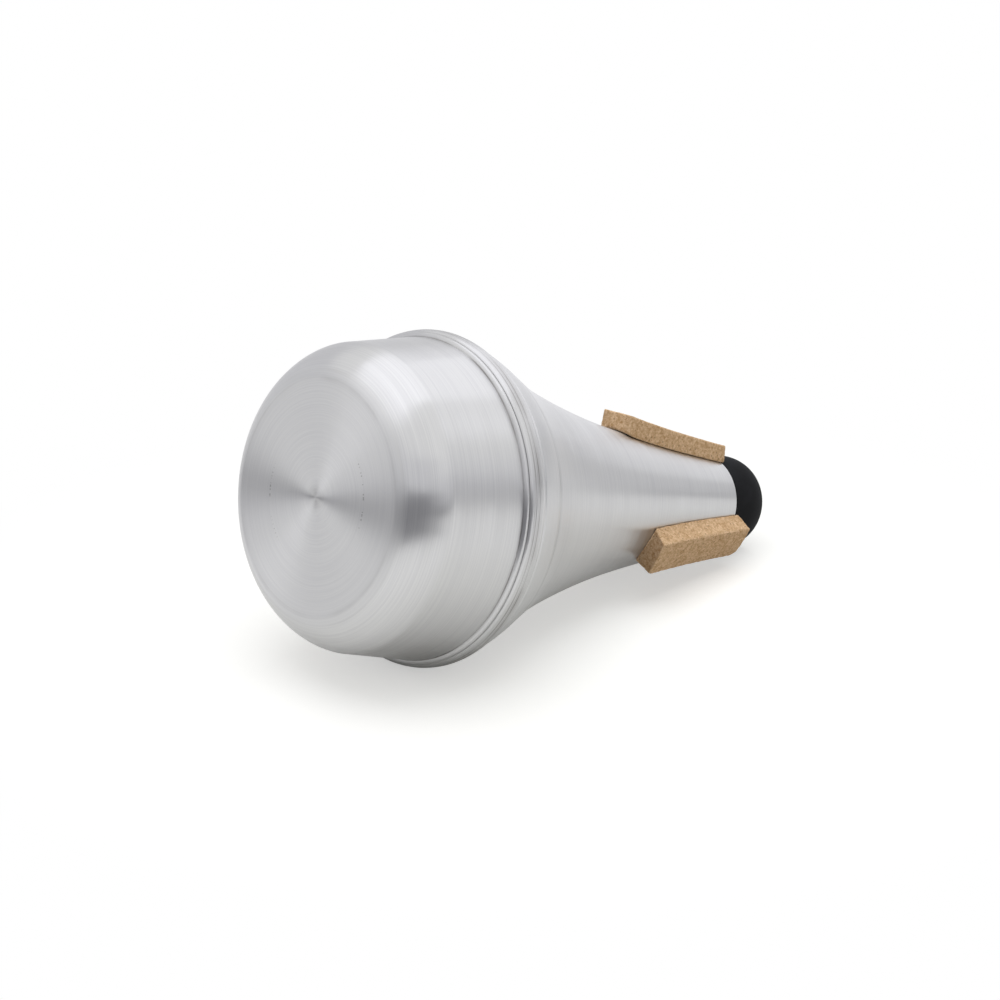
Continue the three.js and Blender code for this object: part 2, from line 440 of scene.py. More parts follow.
def cone_body_outline(s):
    """Rim bead over the spigot, crease, band, flare and the straight throat edge."""
    seat = mouth_radius(s) + s.fit_gap
    edge = seat + s.sheet
    start = lip_end_place(s) + s.seam_gap
    crest_radius, crest_place = crest(s)
    crease_radius, crease_place = crease(s)
    # The first steps of the front give way to the rounded edge at the seam
    seam_steps = 14
    front = trace(40, lambda t: (
        edge + (crest_radius - edge) * math.sin(t * math.pi / 2),
        start + (crest_place - start) * (1 - math.cos(t * math.pi / 2)),
    ))
    back = trace(50, lambda t: (crest_radius - s.bead_drop * t ** 2, crest_place + s.bead_back * t))
    band = trace(54, lambda t: (
        crease_radius - s.band_drop * t + 4 * s.band_swell * t * (1 - t),
        crease_place + s.band_length * t,
    ))
    flare = trace(110, flare_curve(s))
    outside = [*band, *flare[1:]]
    # The hidden inside needs fewer points
    inside = inner_skin([*band[::6], *flare[2:-1:2], flare[-1]], s.sheet)
    for mark, width, share in BEAD_MARKS:
        front = creased(front, crest_place + mark, width, s.tool_mark * share)
        back = creased(back, crest_place + mark, width, s.tool_mark * share)
    back = creased(back, crease_place, s.crease_width, s.crease_depth)
    outside = creased(outside, crease_place, s.crease_width, s.crease_depth)
    outside = creased(outside, crease_place + s.band_length - s.root_shift, s.root_width, s.root_depth)
    throat = rounded([outside[-2], outside[-1], inside[0], inside[1]], s.edge_rounding)
    seat_end = crease_place - s.sheet
    mouth = [
        *rounded([inside[-1], (seat, seat_end), (seat, start), (edge, start)], s.edge_rounding)[:-1],
        *corner((seat, start), (edge, start), front[seam_steps], s.seam_rounding),
    ]
    return [
        mouth[-1], *front[seam_steps:], *back[1:], *outside[1:-2], *throat, *inside[2:-1], *mouth,
    ]


def ring_outline(s, r):
    """Plug inside the throat, swelling side and rounded nose."""
    start = throat_place(s) + s.fit_gap
    plug = s.throat_radius - s.sheet - s.fit_gap
    bore = plug - r.wall
    widest = s.throat_radius + r.swell
    last_turn = math.acos(max(0, 1 - (widest - bore - r.lip_radius) / r.nose_drop))
    nose = trace(40, lambda t: (
        widest - r.nose_drop * (1 - math.cos(last_turn * t)),
        start + r.swell_length + r.nose_length * math.sin(last_turn * t),
    ))
    tip = nose[-1][1]
    mouth = trace(8, lambda t: (
        bore + r.lip_radius * (1 - math.sin(math.pi / 4 * (1 + t))),
        tip - r.lip_radius + r.lip_radius * math.cos(math.pi / 4 * (1 + t)) / math.cos(math.pi / 4),
    ))
    side = trace(14, lambda t: (
        s.throat_radius - r.inset + (r.swell + r.inset) * math.sin(t * math.pi / 2),
        start + r.swell_length * t,
    ))
    plug_end = start - r.plug_length
    # The rounded edge at the ring's start takes the place of the side's first steps
    back = rounded([
        mouth[-1], (bore, plug_end), (plug, plug_end), (plug, start), side[0], side[3],
    ], s.edge_rounding)
    return [back[-1], *side[4:], *nose[1:], *mouth[1:-1], *back]


# Turned pieces

def turned_tree():
    """Geometry Nodes that turn an outline about its axis and lay the piece down.

    The outline is a row of points at (radius, 0, place), each with its distance along the outline.
    """
    tree, add, given = new_tree("Turned piece", {
        "Outline": "Geometry", "Sides": "Int", "Base": "Vector", "Axis": "Vector", "Top": "Vector",
        "Material": "Material",
    })
    # A grid has a row for each point of the outline, and a column for each side and one to close it
    index = add("GeometryNodeInputIndex")[0]
    size = add("GeometryNodeAttributeDomainSize", {"Geometry": given["Outline"]})["Point Count"]
    columns = add("FunctionNodeIntegerMath", {0: given["Sides"], 1: 1}, operation="ADD")[0]
    grid = add("GeometryNodeMeshGrid", {"Vertices X": columns, "Vertices Y": size})["Mesh"]
    row = add("FunctionNodeIntegerMath", {0: index, 1: size}, operation="MODULO")[0]
    column = add("FunctionNodeIntegerMath", {0: index, 1: size}, operation="DIVIDE_FLOOR")[0]
    turns = add("ShaderNodeMath", {0: column, 1: given["Sides"]}, operation="DIVIDE")[0]
    angle = add("ShaderNodeMath", {0: turns, 1: math.tau}, operation="MULTIPLY")[0]

    # Each grid point takes what the outline's point in its row holds
    held = {}
    for name, data_type in (("position", "FLOAT_VECTOR"), ("along", "FLOAT"), ("soil", "FLOAT")):
        value = add("GeometryNodeInputNamedAttribute", {"Name": name}, data_type=data_type)[0]
        held[name] = add(
            "GeometryNodeSampleIndex", {"Geometry": given["Outline"], "Value": value, "Index": row},
            data_type=data_type)[0]
    rotated = add(
        "ShaderNodeVectorRotate", {"Vector": held["position"], "Angle": angle},
        rotation_type="Z_AXIS")[0]
    # The map is stored at face corners, so that it has a clean seam once the grid's ends are merged
    map_place = add("ShaderNodeCombineXYZ", {"X": turns, "Y": held["along"]})[0]
    map_place = add("GeometryNodeFieldOnDomain", {0: map_place}, data_type="FLOAT_VECTOR", domain="POINT")[0]
    skin = add("GeometryNodeSetPosition", {"Geometry": grid, "Position": rotated})[0]
    skin = add(
        "GeometryNodeStoreNamedAttribute",
        {"Geometry": skin, "Name": "around_along", "Value": map_place},
        data_type="FLOAT2", domain="CORNER")[0]
    skin = add(
        "GeometryNodeStoreNamedAttribute",
        {"Geometry": skin, "Name": "soil", "Value": held["soil"]},
        data_type="FLOAT", domain="POINT")[0]
    closed = add("GeometryNodeMergeByDistance", {"Geometry": skin, "Distance": MM / 1000})[0]
    pose = add(
        "FunctionNodeAxesToRotation", {0: given["Axis"], 1: given["Top"]},
        primary_axis="Z", secondary_axis="X")[0]
    lying = add(
        "GeometryNodeTransform",
        {"Geometry": closed, "Translation": given["Base"], "Rotation": pose})[0]
    finish_tree(add, lying, given["Material"])
    return tree


def turn_piece(name, outline, material, creases=(), sides=256):
    """Turns an outline into a closed piece, and keeps two things for its finish.

    They are the distance along the outline, and how much painted shade and soil lie in the creases.
    A crease is given by its radius and place, its width and how full it is.
    """
    points = [Vector((radius * FLAT_SHARE, 0, place)) for radius, place in outline]
    edges = [(i, i + 1) for i in range(len(points) - 1)]
    piece = new_object(name, points, edges)
    steps = [(b - a).length for a, b in zip(points, points[1:])]
    along = piece.data.attributes.new("along", "FLOAT", "POINT")
    along.data.foreach_set("value", np.cumsum([0, *steps]))
    soil = piece.data.attributes.new("soil", "FLOAT", "POINT")
    soil.data.foreach_set("value", [
        sum(full * math.exp(-(math.dist(point, at) / width) ** 2) for at, width, full in creases)
        for point in outline
    ])
    tree = bpy.data.node_groups.get("Turned piece") or turned_tree()
    apply_tree(piece, tree, sides=sides, base=BASE, axis=AXIS, top=TOP, material=material)
    return piece


class MUTE_OT_end_cap(bpy.types.Operator):
    """Spin the end cap: flat base, shoulder, wall, lip and spigot"""

    bl_idname = "mute.end_cap"
    bl_label = "End Cap"

    def execute(self, context):
        s = context.scene.mute_shells
        lip = (mouth_radius(s), lip_end_place(s))
        # Painted shade and soil at the base's edge, beside it on the shoulder, at the lip's foot and in the
        # seam
        creases = [
            ((s.disc_radius, 0), 0.6 * MM, 0.08), ((s.disc_radius + 2.5 * MM, 0.7 * MM), 0.4 * MM, 0.07),
            ((lip[0], lip[1] - s.lip_width * 1.2), 0.2 * MM, 0.6), (lip, 0.5 * MM, 0.4),
        ]
        metal = spun_aluminium(context.scene.mute_colours)
        piece = turn_piece("end_cap_spun", end_cap_outline(s), metal, creases)
        finish_piece(piece, "end_cap")
        return {"FINISHED"}


class MUTE_OT_cone_body(bpy.types.Operator):
    """Spin the cone body: rim bead, band and flare"""

    bl_idname = "mute.cone_body"
    bl_label = "Cone Body"

    def execute(self, context):
        s = context.scene.mute_shells
        seat = (mouth_radius(s) + s.sheet / 2, lip_end_place(s) + s.fit_gap)
        behind_bead = (crease(s)[0], crease(s)[1] - 0.3 * MM)
        root = (crease(s)[0] - s.band_drop, crease(s)[1] + s.band_length - 0.4 * MM)
        # Painted shade and soil in the seam, behind the bead, at the cone's root and in the rings that the
        # tool left
        creases = [
            (seat, 0.6 * MM, 0.4), (behind_bead, 0.3 * MM, 0.35), (root, 0.9 * MM, 0.2),
            *[
                ((crest(s)[0], crest(s)[1] + mark), width * 1.1, 0.7 * share)
                for mark, width, share in BEAD_MARKS
            ],
        ]
        metal = spun_aluminium(context.scene.mute_colours)
        piece = turn_piece("cone_body_spun", cone_body_outline(s), metal, creases)
        finish_piece(piece, "cone_body")
        return {"FINISHED"}


class MUTE_OT_throat_ring(bpy.types.Operator):
    """Mould the rubber ring in the throat"""

    bl_idname = "mute.throat_ring"
    bl_label = "Throat Ring"

    def execute(self, context):
        scene = context.scene
        outline = ring_outline(scene.mute_shells, scene.mute_ring)
        piece = turn_piece("throat_ring_moulded", outline, moulded_rubber(scene.mute_colours))
        finish_piece(piece, "throat_ring")
        return {"FINISHED"}


# Cork strips

CORK_STRIPS = ("cork_strip_top", "cork_strip_front", "cork_strip_rear")
# Where each strip sits around the cone, in degrees from the top, and its own shares of the sizes above.
# Skew is how unevenly its far end leans from side to side, and the last row is how much painted shade darkens
# its two ends.
CORK_SHARES = {
    "clock": (-3.8, 113.8, -124),
    "length": (1.07, 1.025, 1.015),
    "overhang": (1.0, 1.2, 0.7),
    "thickness": (0.78, 1.06, 0.92),
    "dome": (0, 0.8, 0.6),
    "lean": (0.1, 1, 0.7),
    "skew": (0.2, 1, -0.4),
    "slant": (0, 1, -0.5),
    "tip": (0, 1, 0.4),
    "corner": (0, 1, 0.4),
    "lift": (1, 0.1, 0.3),
    "soil": (0.15, 1.0, 0.6),
}
# The powers that keep the lift and the bow to a strip's far end, and the tip to its throat end
LIFT_POWER = 14
BOW_POWER = 6
TIP_POWER = 8


def block_skin(counts):
    """The skin of a block of cells: lattice places in 0..1 and its faces, which point outwards."""
    places = {}
    faces = []

    def vertex(place):
        return places.setdefault(place, len(places))

    for side in range(3):
        u, v = (side + 1) % 3, (side + 2) % 3
        for end in (0, counts[side]):
            for i in range(counts[u]):
                for j in range(counts[v]):
                    loop = []
                    for a, b in ((i, j), (i + 1, j), (i + 1, j + 1), (i, j + 1)):
                        place = [0, 0, 0]
                        place[side], place[u], place[v] = end, a, b
                        loop.append(vertex(tuple(place)))
                    faces.append(loop if end else loop[::-1])
    return np.array(list(places)) / np.array(counts), faces


def worn_block(shares, block, wear, corner):
    """Rounds the edges of a block by pushing its skin in, and one upright corner at the throat end.

    Gives places in 0..1 again, and how close each is to an edge, also in 0..1.
    """
    places = shares * block
    core = np.clip(places, wear, block - wear)
    out = places - core
    # The least reach keeps the skin's flat middle from dividing by 0
    reach = np.maximum(np.linalg.norm(out, axis=1, keepdims=True), wear * 1e-6)
    farthest = np.abs(out).max(axis=1, keepdims=True)
    near_edge = np.sort(np.abs(out), axis=1)[:, -2] / wear
    places = core + out * (farthest / reach)
    past = np.maximum(places[:, :2] - (block[:2] - corner), 0)
    cut = (past.min(axis=1) > 0) & (corner > 0)
    past[cut] *= (past[cut].max(axis=1) / np.linalg.norm(past[cut], axis=1))[:, None]
    places[cut, :2] = block[:2] - corner + past[cut]
    return places / block, near_edge


def strip_places(shares, s, c, strip, lowest, highest):
    """Brings places in 0..1 (across, along, out) onto the cone, from one height above it to another.

    The heights are functions of how far a place is from the throat, in 0..1.
    """
    flare = trace(400, flare_curve(s))
    flare_places = [point[1] for point in flare]
    flare_radii = [point[0] for point in flare]
    across, along, out = shares.T
    far = 1 - along
    end = throat_place(s) + c.overhang * strip["overhang"]
    at_axis = end - c.length * strip["length"] * far
    cone = np.interp(at_axis, flare_places, flare_radii) * FLAT_SHARE
    across = (across - 0.5) * (c.width + c.widening * far - 2 * c.draft * out)
    under = np.sqrt((cone + lowest(far)) ** 2 - across ** 2)
    over = cone + highest(far) - c.dome * strip["dome"] * (2 * across / c.width) ** 2
    skew = 1 - strip["skew"] * np.sign(across) * np.minimum(1, np.abs(across) / (c.width / 2))
    bow = c.bow * (1 - (across / c.width * 2) ** 2) * far ** BOW_POWER * (1 - out)
    at_axis = at_axis - c.lean * strip["lean"] * skew * far * out - np.maximum(bow, 0)
    lower = across / c.width + 0.5
    at_axis = at_axis - c.slant * strip["slant"] * lower * far
    at_axis = at_axis + c.tip * strip["tip"] * (1 - lower) * out * along ** TIP_POWER
    return np.stack((across, at_axis, under + (over - under) * out), axis=1)


def set_around(places, clock):
    """Turns places (across, along the axis, out) to a strip's own clock angle and lays them down."""
    turn = math.radians(clock)
    across, along, out = places.T
    local = np.stack((
        out * math.cos(turn) - across * math.sin(turn),
        out * math.sin(turn) + across * math.cos(turn),
        along,
    ), axis=1)
    return local @ np.array(LAID_DOWN).T + np.array(BASE)


def crumb_tree():
    """Geometry Nodes that cut crevices between the granules and pits into the cork's skin."""
    tree, add, given = new_tree("Cork crumb", {
        "Strip": "Geometry", "Granule": "Float", "Crevice": "Float", "Material": "Material",
    })
    # Small pits, which are deeper where an edge is worn
    pit_scale = add("ShaderNodeMath", {0: 0.6, 1: given["Granule"]}, operation="DIVIDE")[0]
    grit = add("ShaderNodeTexNoise", {"Scale": pit_scale, "Detail": 3.0, "Roughness": 0.6})[0]
    pits = add("ShaderNodeMapRange", {"Value": grit, "From Min": 0.45, "From Max": 0.75})[0]
    worn = add("GeometryNodeInputNamedAttribute", {"Name": "worn"}, data_type="FLOAT")[0]
    crumbling = add("ShaderNodeMath", {0: worn, 1: 7.0, 2: 1.0}, operation="MULTIPLY_ADD")[0]
    depth = add("ShaderNodeMath", {0: pits, 1: crumbling}, operation="MULTIPLY")[0]
    # The skin also sways gently over several granules
    sway_scale = add("ShaderNodeMath", {0: 0.15, 1: given["Granule"]}, operation="DIVIDE")[0]
    sway = add("ShaderNodeTexNoise", {"Scale": sway_scale, "Detail": 1.0})[0]
    depth = add("ShaderNodeMath", {0: sway, 1: 3.0, 2: depth}, operation="MULTIPLY_ADD")[0]
    inward = add("ShaderNodeMath", {0: given["Crevice"], 1: -1.0}, operation="MULTIPLY")[0]
    depth = add("ShaderNodeMath", {0: depth, 1: inward}, operation="MULTIPLY")[0]
    normal = add("GeometryNodeInputNormal")[0]
    offset = add("ShaderNodeVectorMath", {0: normal, "Scale": depth}, operation="SCALE")[0]
    cut = add("GeometryNodeSetPosition", {"Geometry": given["Strip"], "Offset": offset})[0]
    finish_tree(add, cut, given["Material"])
    return tree


class MUTE_OT_cork_strips(bpy.types.Operator):
    """Cut the three cork strips and glue them to the cone"""

    bl_idname = "mute.cork_strips"
    bl_label = "Cork Strips"

    def execute(self, context):
        scene = context.scene
        s, c, colours = scene.mute_shells, scene.mute_corks, scene.mute_colours
        crumb = crumb_tree()
        cork = agglomerated_cork(c, colours)
        block = np.array((c.width, c.length, c.thickness))
        lattice, faces = block_skin([round(side / c.cell) for side in block])
        for i, node in enumerate(CORK_STRIPS):
            strip = {share: values[i] for share, values in CORK_SHARES.items()}
            shares, near_edge = worn_block(lattice, block, c.wear, c.corner * strip["corner"])
            places = strip_places(
                shares, s, c, strip,
                lambda far: c.seating + strip["lift"] * c.lift * far ** LIFT_POWER,
                lambda far: s.fit_gap + c.thickness * strip["thickness"] + c.thickening * far)
            piece = new_object(node + "_cut", set_around(places, strip["clock"]), faces=faces)
            worn = piece.data.attributes.new("worn", "FLOAT", "POINT")
            worn.data.foreach_set("value", near_edge)
            # Both ends of a strip get painted shade, in the share that its row gives
            soil = piece.data.attributes.new("soil", "FLOAT", "POINT")
            soil.data.foreach_set("value", np.isin(shares[:, 1], (0, 1)) * strip["soil"])
            apply_tree(piece, crumb, granule=c.granule, crevice=c.crevice, material=cork)
            finish_piece(piece, node)
        return {"FINISHED"}


# Finishes

def new_material(name):
    """An empty node material, and the function that adds nodes to it."""
    material = bpy.data.materials.new(name)
    material.use_nodes = True
    material.node_tree.nodes.clear()
    return material, adder(material.node_tree)


def layered(add, shade, *layers):
    """Lays colours over a first one, each with the share that it covers.

    The Mix node takes its two colours on sockets 6 and 7, and gives the mixed one on 2.
    """
    for share, over in layers:
        shade = add("ShaderNodeMix", {0: share, 6: shade, 7: (*over, 1)}, data_type="RGBA")[2]
    return shade


def spun_aluminium(colours):
    """Pure aluminium sheet spun over a former: satin, with fine rings that stretch every highlight."""
    name = "Spun aluminium"
    if name in bpy.data.materials:
        return bpy.data.materials[name]
    material, add = new_material(name)
    place = add("ShaderNodeTexCoord")["Object"]
    from_base = add("ShaderNodeVectorMath", {0: place, 1: BASE}, operation="SUBTRACT")[0]
    around = add("ShaderNodeVectorMath", {0: AXIS, 1: from_base}, operation="CROSS_PRODUCT")[0]
    tangent = add("ShaderNodeVectorMath", {0: around}, operation="NORMALIZE")[0]
    uv = add("ShaderNodeSeparateXYZ", {0: add("ShaderNodeUVMap", uv_map="around_along")[0]})
    turn = add("ShaderNodeMath", {0: uv["X"], 1: math.tau}, operation="MULTIPLY")[0]

    def rings(spacing, wander, detail):
        """Noise in rings of a real spacing, which fades and wanders around the piece."""
        at = {"Z": add("ShaderNodeMath", {0: uv["Y"], 1: 1 / spacing}, operation="MULTIPLY")[0]}
        for side, swing in (("X", "COSINE"), ("Y", "SINE")):
            swung = add("ShaderNodeMath", {0: turn}, operation=swing)[0]
            at[side] = add("ShaderNodeMath", {0: swung, 1: wander}, operation="MULTIPLY")[0]
        vector = add("ShaderNodeCombineXYZ", at)[0]
        return add("ShaderNodeTexNoise", {"Vector": vector, "Scale": 1.0, "Detail": detail})[0]

    # Real spinning lines lie about 0.1 mm apart, too fine for the render, so they are drawn at 0.3 mm
    fine = rings(0.3 * MM, 0.8, 2.0)
    broad = rings(2.4 * MM, 0.5, 2.0)
    marks = add("ShaderNodeMix", {0: 0.15, "A": fine, "B": broad}, data_type="FLOAT")[0]
    tone = add("ShaderNodeMapRange", {"Value": marks, "From Min": 0.35, "From Max": 0.65})[0]

    # The flat base was faced last: it is paler and duller, most of all in its middle
    lift = add("ShaderNodeVectorMath", {0: from_base, 1: AXIS}, operation="DOT_PRODUCT")["Value"]
    faced = add("ShaderNodeMapRange", {"Value": lift, "From Min": 1.5 * MM, "From Max": 0.1 * MM})[0]
    lighter = add("ShaderNodeMath", {0: faced, 1: 0.3}, operation="MULTIPLY")[0]
    centre = add(
        "ShaderNodeMapRange", {"Value": uv["Y"], "From Min": 4.4 * MM, "From Max": 0.0},
        interpolation_type="SMOOTHSTEP")[0]
    centre = add("ShaderNodeMath", {0: centre, 1: faced}, operation="MULTIPLY")[0]

    # Nicks on a ring of the base, where the tool chattered on two sides
    nick_ring = 18.8 * MM
    chatter_heading = math.radians(20)
    off_ring = add("ShaderNodeMath", {0: uv["Y"], 1: nick_ring}, operation="SUBTRACT")[0]
    off_ring = add("ShaderNodeMath", {0: off_ring}, operation="ABSOLUTE")[0]
    on_ring = add("ShaderNodeMapRange", {"Value": off_ring, "From Min": 0.3 * MM, "From Max": 0.15 * MM})[0]
    beside = add("ShaderNodeMath", {0: turn, 1: chatter_heading}, operation="ADD")[0]
    beside = add("ShaderNodeMath", {0: beside}, operation="SINE")[0]
    beside = add("ShaderNodeMath", {0: beside}, operation="ABSOLUTE")[0]
    beside = add("ShaderNodeMapRange", {"Value": beside, "From Min": 0.82, "From Max": 0.94})[0]
    nick = rings(40 * MM, 45.0, 0.0)
    nick = add("ShaderNodeMapRange", {"Value": nick, "From Min": 0.59, "From Max": 0.65})[0]
    for mask in (on_ring, faced, beside):
        nick = add("ShaderNodeMath", {0: nick, 1: mask}, operation="MULTIPLY")[0]

    # Painted shade and old polish lie unevenly in the creases, with a little polish in the nicks and in the
    # base's middle
    uneven = add("ShaderNodeMapRange", {
        "Value": rings(12 * MM, 2.5, 2.0), "From Min": 0.35, "From Max": 0.65, "To Min": 0.2,
        "To Max": 1.3})[0]
    soil = add("ShaderNodeAttribute", attribute_name="soil")["Fac"]
    soil = add("ShaderNodeMath", {0: soil, 1: uneven}, operation="MULTIPLY")[0]
    soil = add("ShaderNodeMath", {0: centre, 1: 0.12, 2: soil}, operation="MULTIPLY_ADD")[0]
    soil = add("ShaderNodeMath", {0: nick, 1: 0.4, 2: soil}, operation="MULTIPLY_ADD", use_clamp=True)[0]
    shade = layered(
        add, (*colours.aluminium_worn, 1), (tone, colours.aluminium), (lighter, colours.aluminium_faced),
        (soil, colours.soil))

    rough = add("ShaderNodeMapRange", {
        "Value": broad, "From Min": 0.3, "From Max": 0.7, "To Min": 0.28, "To Max": 0.34})[0]
    for share, roughness in ((faced, 0.47), (centre, 0.62)):
        rough = add("ShaderNodeMix", {0: share, "A": rough, "B": roughness}, data_type="FLOAT")[0]
    bump = add("ShaderNodeBump", {"Strength": 0.13, "Distance": 0.02 * MM, "Height": fine})[0]
    surface = add("ShaderNodeBsdfPrincipled", {
        "Base Color": shade, "Metallic": 1.0, "Roughness": rough, "Anisotropic": 0.94,
        "Anisotropic Rotation": 0.25, "Tangent": tangent, "Normal": bump})
    add("ShaderNodeOutputMaterial", {"Surface": surface[0]})
    return material


def moulded_rubber(colours):
    """Black synthetic rubber, moulded: dull, with a faint bloom and a fine grain."""
    material, add = new_material("Moulded black rubber")
    place = add("ShaderNodeTexCoord")["Object"]
    bloom = add("ShaderNodeTexNoise", {"Vector": place, "Scale": 1 / (4 * MM), "Detail": 4.0})[0]
    bloom = add("ShaderNodeMapRange", {"Value": bloom, "From Min": 0.45, "From Max": 0.8, "To Max": 0.5})[0]
    shade = layered(add, (*colours.rubber, 1), (bloom, colours.rubber_dust))
    # The mould's real grain is about 0.1 mm, too fine for the render, so it is drawn at 0.3 mm
    grain = add("ShaderNodeTexNoise", {"Vector": place, "Scale": 1 / (0.3 * MM), "Detail": 2.0})[0]
    bump = add("ShaderNodeBump", {"Strength": 0.4, "Distance": 0.03 * MM, "Height": grain})[0]
    surface = add("ShaderNodeBsdfPrincipled", {
        "Base Color": shade, "Roughness": 0.78, "Specular IOR Level": 0.2, "Normal": bump})
    add("ShaderNodeOutputMaterial", {"Surface": surface[0]})
    return material


def agglomerated_cork(c, colours):
    """Ground cork pressed with binder: tan granules, dark bark specks and small crevices, quite dull."""
    material, add = new_material("Agglomerated cork")
    place = add("ShaderNodeTexCoord")["Object"]

    # Granules, crumbs between them and now and then a larger speck of bark, as shares of a granule
    cells, crumbs, specks = [
        add("ShaderNodeTexVoronoi", {"Vector": place, "Scale": finer / c.granule})
        for finer in (1, 2.3, 0.7)
    ]
    grit = add("ShaderNodeSeparateColor", {0: crumbs["Color"]})[1]
    pick = add("ShaderNodeSeparateColor", {0: cells["Color"]})[0]
    pick = add("ShaderNodeMix", {0: 0.5, "A": pick, "B": grit}, data_type="FLOAT")[0]
    pick = add("ShaderNodeMapRange", {"Value": pick, "From Min": 0.05, "From Max": 0.95})[0]
    small = add("ShaderNodeMapRange", {"Value": specks["Distance"], "From Min": 0.3, "From Max": 0.15})[0]
    bark = add("ShaderNodeSeparateColor", {0: specks["Color"]})[1]
    bark = add("ShaderNodeMath", {0: bark, 1: 0.68}, operation="GREATER_THAN")[0]
    for share in (small, 0.55):
        bark = add("ShaderNodeMath", {0: bark, 1: share}, operation="MULTIPLY")[0]

    # The ends are painted darker as painted shade, and fresh granules show where an edge is worn
    soil = add("ShaderNodeAttribute", attribute_name="soil")["Fac"]
    soil = add("ShaderNodeMath", {0: soil, 1: 0.36}, operation="MULTIPLY")[0]
    worn = add("ShaderNodeAttribute", attribute_name="worn")["Fac"]
    fresh = add("ShaderNodeMath", {0: worn, 1: grit}, operation="MULTIPLY")[0]
    shade = layered(
        add, (*colours.cork_dark, 1), (pick, colours.cork_light), (bark, colours.cork_bark),
        (soil, colours.cork_bark), (fresh, colours.cork_light))

    domed = add(
        "ShaderNodeMix", {0: 0.4, "A": cells["Distance"], "B": crumbs["Distance"]},
        data_type="FLOAT")[0]
    bump = add("ShaderNodeBump", {"Strength": 0.28, "Distance": 0.15 * MM, "Height": domed}, invert=True)[0]
    surface = add("ShaderNodeBsdfPrincipled", {
        "Base Color": shade, "Roughness": 0.88, "Specular IOR Level": 0.12, "Normal": bump})
    add("ShaderNodeOutputMaterial", {"Surface": surface[0]})
    return material


# Stage

# The camera, fitted to the photograph's view of the base, the rim and the throat
FOCAL_LENGTH = 97.2
SENSOR_WIDTH = 36.0
CAMERA_RIGHT = Vector((0.748856, -0.662733, 0.0))
CAMERA_FORWARD = Vector((0.618347, 0.698700, -0.359814))
BASE_FROM_CAMERA = Vector((-47.47, -0.65, 695.34)) * MM
# Screens around the stage: tone, the two headings in degrees that they stand between, height and distance
SCREENS = (
    ("grey_screen", 152, 163, 0.14, 0.79),
    ("dark_screen", 163, 192, 0.25, 0.79),
    ("dark_screen", 192, 252, 0.38, 0.79),
    ("white_screen", 252, 325, 0.115, 0.78),
    ("grey_screen", 252, 325, 0.20, 0.79),
    ("white_screen", 325, 375, 0.02, 0.78),
    ("grey_screen", 325, 375, 0.09, 0.79),
    ("pale_screen", 165, 262, 0.80, 0.80),
    ("pale_screen", 262, 340, 0.46, 0.80),
    ("pale_screen", 340, 396, 0.27, 0.80),
    ("pale_screen", 396, 492, 0.55, 0.80),
    ("pale_screen", 492, 525, 0.18, 0.80),
)
# The main softbox hangs straight above. Its front, as reflections see it, hangs a little behind the mute
KEY_HEIGHT = 4.045
KEY_SIDE = 4.8
FRONT_CENTRE = Vector((0.1, 0.5, 1.6))
# The side softbox's front: its distance, lower and upper edge, and the two headings in degrees
SIDE_FRONT = (0.9, 0.33, 0.92, 326, 416)
# The key is a little cool and the even light is warm, so that a white surface stays white under both
KEY_COLOUR = (0.985, 1.0, 1.04)
CLOTH_COLOUR = (0.99, 0.99, 1.02, 1)
AMBIENT_COLOUR = (1, 0.97, 0.89, 1)
# How far from where the bead touches it the floor stays dark in reflections, and where it is fully lit
CONTACT_SHADE = (12 * MM, 38 * MM)
# How far from the middle the floor starts to turn white, and where it is plain white
FLOOR_SWEEP = (40 * MM, 180 * MM)


def seen_ray(add):
    """1 for the rays that see the background: from the camera, in a reflection or through glass."""
    path = add("ShaderNodeLightPath")
    seen = add("ShaderNodeMath", {0: path["Is Camera Ray"], 1: path["Is Glossy Ray"]}, operation="MAXIMUM")[0]
    return add("ShaderNodeMath", {0: seen, 1: path["Is Transmission Ray"]}, operation="MAXIMUM")[0]


def floor_material(colours, lift, mirrored_lift, contact):
    """Matt white board that keeps the mute's shadow and goes to white where it is seen."""
    material, add = new_material("White board")
    seen = seen_ray(add)
    to_camera = add("ShaderNodeLightPath")["Is Camera Ray"]
    place = add("ShaderNodeTexCoord")["Object"]
    far = add("ShaderNodeVectorMath", {0: place}, operation="LENGTH")["Value"]
    from_contact = add("ShaderNodeVectorMath", {0: place, 1: contact}, operation="DISTANCE")["Value"]
    dark, lit = CONTACT_SHADE
    mirrored = add(
        "ShaderNodeMapRange",
        {"Value": from_contact, "From Min": dark, "From Max": lit, "To Max": mirrored_lift},
        interpolation_type="SMOOTHSTEP")[0]
    unseen = add("ShaderNodeMath", {0: seen, 1: to_camera}, operation="SUBTRACT")[0]
    mirrored = add("ShaderNodeMath", {0: unseen, 1: mirrored}, operation="MULTIPLY")[0]
    strength = add("ShaderNodeMath", {0: to_camera, 1: lift, 2: mirrored}, operation="MULTIPLY_ADD")[0]
    board = add("ShaderNodeBsdfDiffuse", {"Color": (*colours.floor, 1)})[0]
    glow = add("ShaderNodeEmission", {"Strength": strength})[0]
    near = add("ShaderNodeAddShader", {0: board, 1: glow})[0]
    start, end = FLOOR_SWEEP
    sweep = add(
        "ShaderNodeMapRange", {"Value": far, "From Min": start, "From Max": end, "To Max": seen},
        interpolation_type="SMOOTHSTEP")[0]
    white = add("ShaderNodeEmission", {"Strength": 1.0})[0]
    both = add("ShaderNodeMixShader", {0: sweep, 1: near, 2: white})[0]
    add("ShaderNodeOutputMaterial", {"Surface": both})
    return material


def glowing_material(name, colour_seen, glow=1.0):
    """A card or a softbox's cloth front, evenly bright, which the metal mirrors as a dark or pale band."""
    if name in bpy.data.materials:
        return bpy.data.materials[name]
    material, add = new_material(name)
    surface = add("ShaderNodeEmission", {"Color": colour_seen, "Strength": glow})[0]
    add("ShaderNodeOutputMaterial", {"Surface": surface})
    return material


